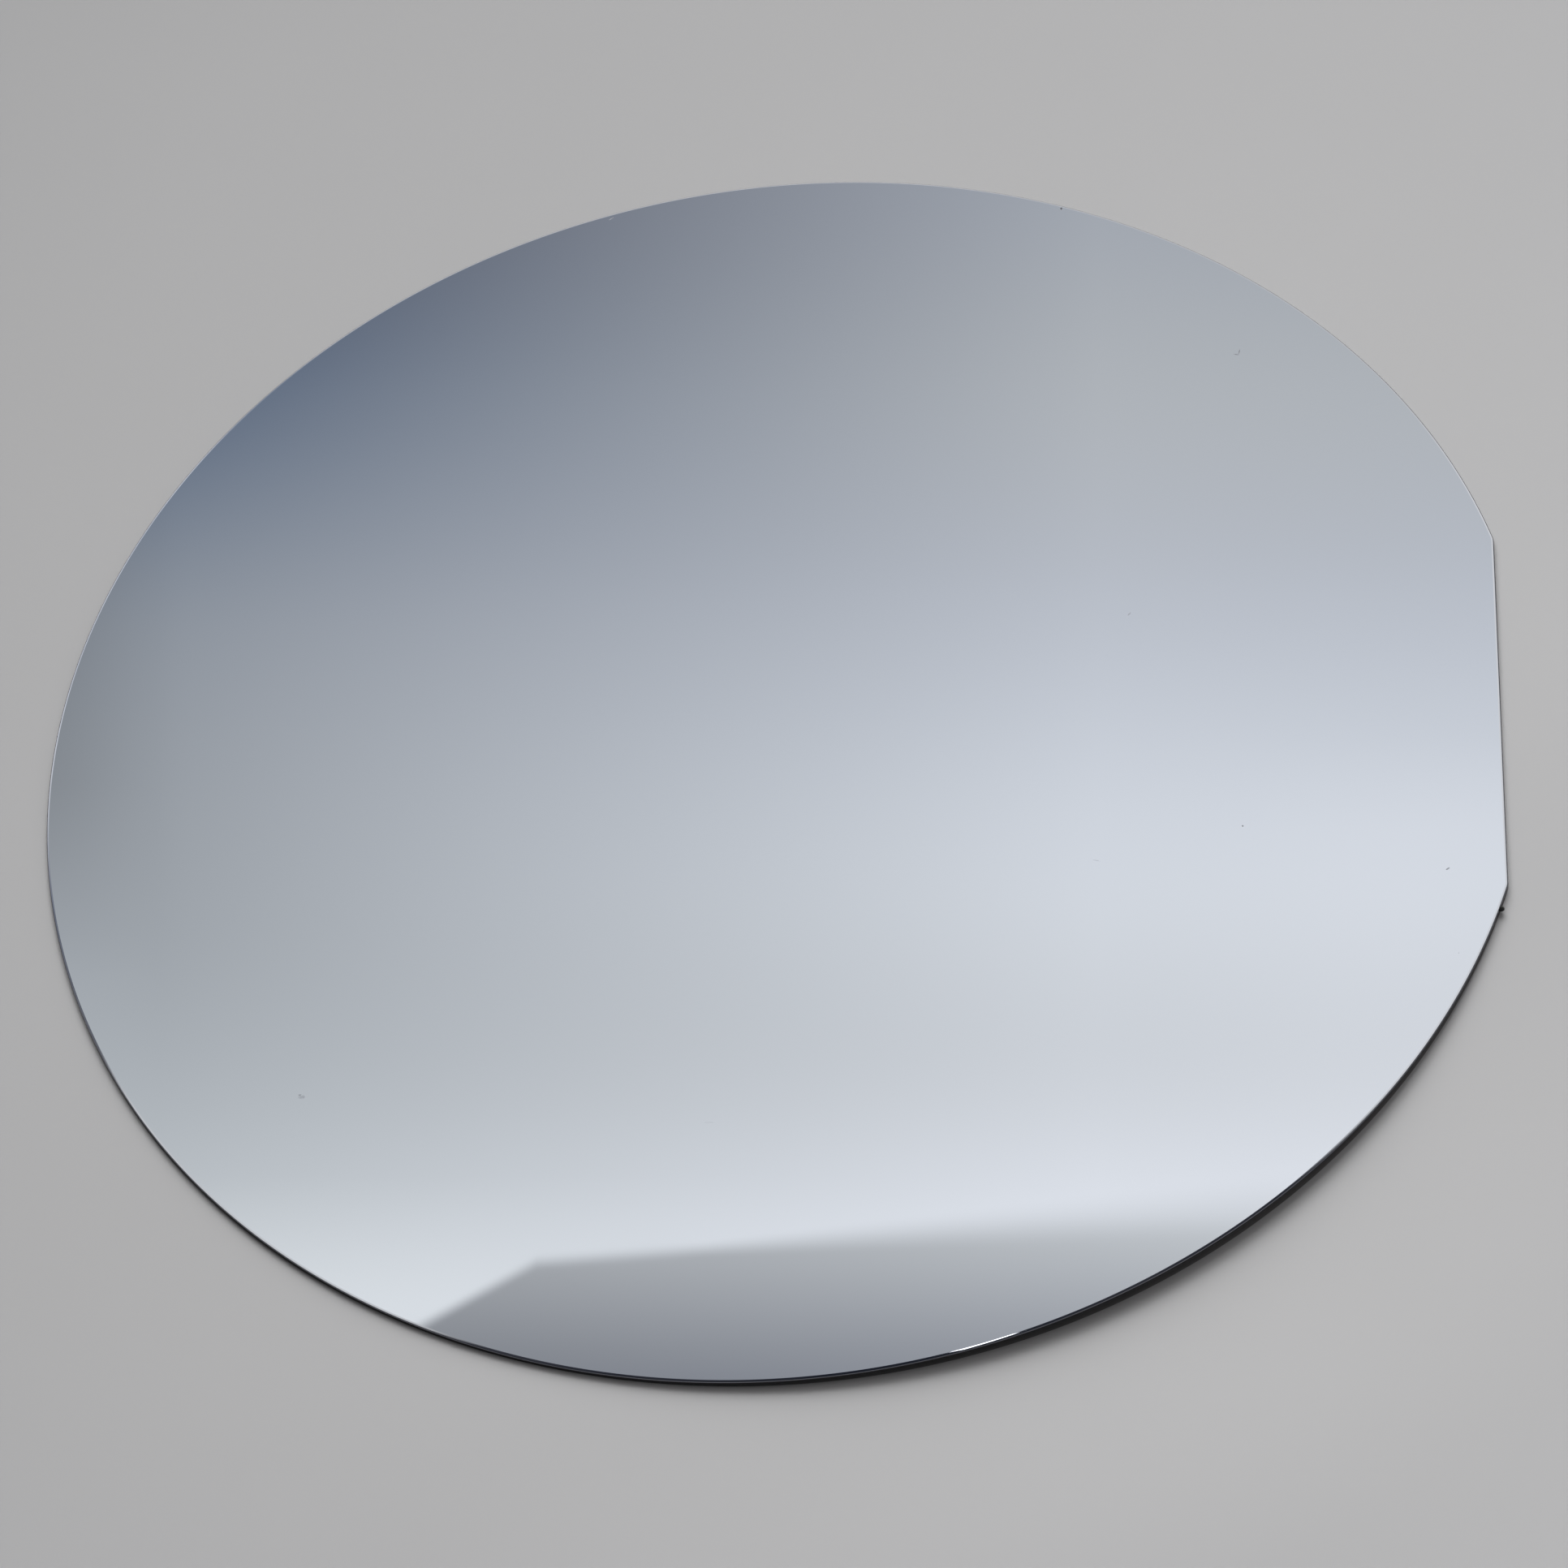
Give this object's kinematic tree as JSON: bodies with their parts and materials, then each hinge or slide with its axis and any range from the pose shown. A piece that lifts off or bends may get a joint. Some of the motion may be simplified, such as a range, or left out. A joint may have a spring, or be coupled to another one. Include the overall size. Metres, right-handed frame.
{
  "type": "silicon wafer",
  "caption": "Thin round silicon wafer with an orientation flat, a polished front face, a satin back face and a rounded ground edge.",
  "frame": {"origin": "centre of the round outline on the back face, the face that the wafer lies on", "axes": "+Z out of the polished front face; -Y through the middle of the orientation flat, at right angles to it; +X along the flat"},
  "size_m": [0.2, 0.1958, 0.0007],
  "materials": {
    "silicon": "mirror-polished front face, etched satin back face, fine-ground edge"
  },
  "bodies": {
    "root": {"wafer": "silicon"}
  },
  "joints": []
}
